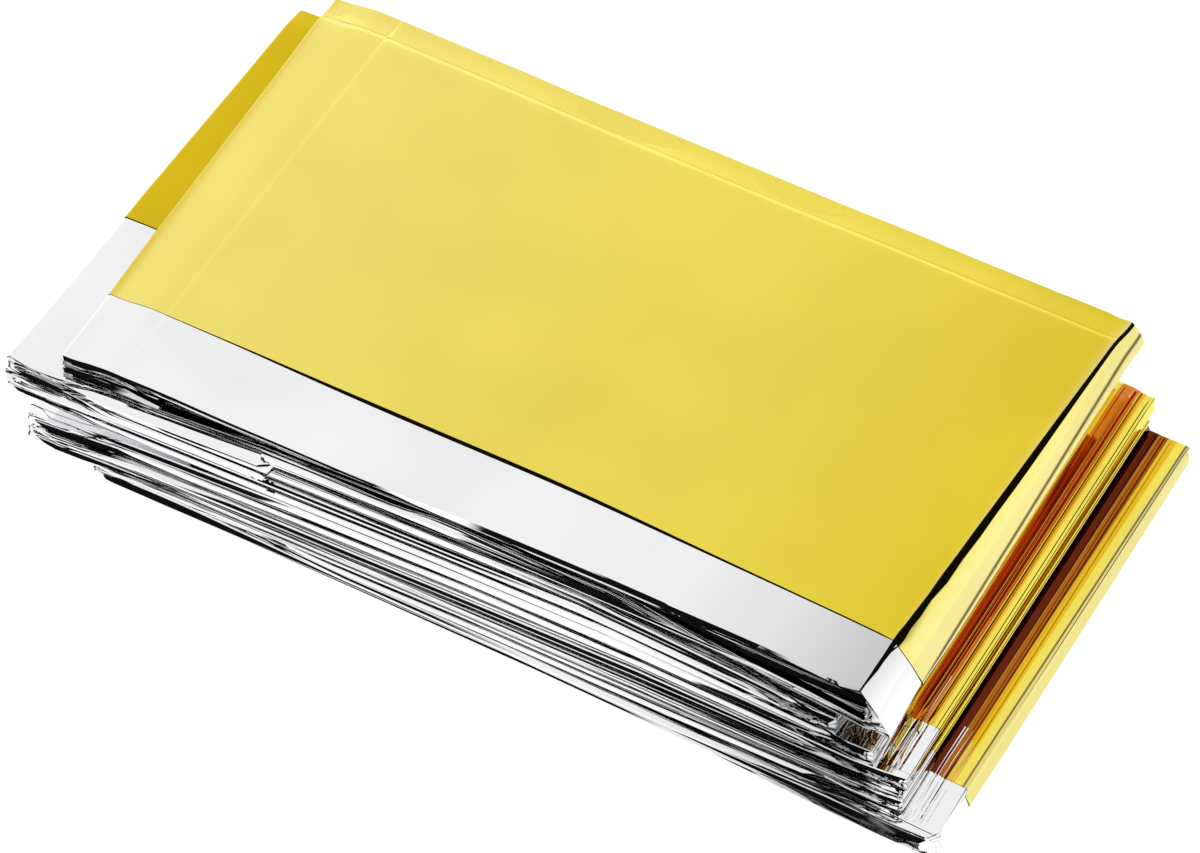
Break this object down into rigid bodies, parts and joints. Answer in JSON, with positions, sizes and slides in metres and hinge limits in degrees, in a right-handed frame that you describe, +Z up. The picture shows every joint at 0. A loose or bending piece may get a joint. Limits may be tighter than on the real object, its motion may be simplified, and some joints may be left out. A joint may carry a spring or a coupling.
{
  "type": "emergency foil blanket",
  "caption": "Emergency foil blanket of thin metallised film, gold on one side and silver on the other, pleated and folded into a flat pocket-size pack.",
  "frame": {"origin": "centre of the folded pack's bounding box, on the surface it lies on", "axes": "+X along the pack's length towards the end with the open top fold, +Z up, -Y towards the edge with the silver pleats"},
  "size_m": [0.1558, 0.0896, 0.0229],
  "materials": {
    "metallised_film": "vacuum-metallised to a mirror gloss, gold outside and silver inside"
  },
  "bodies": {
    "root": {"foil_blanket": "metallised_film"}
  },
  "joints": []
}
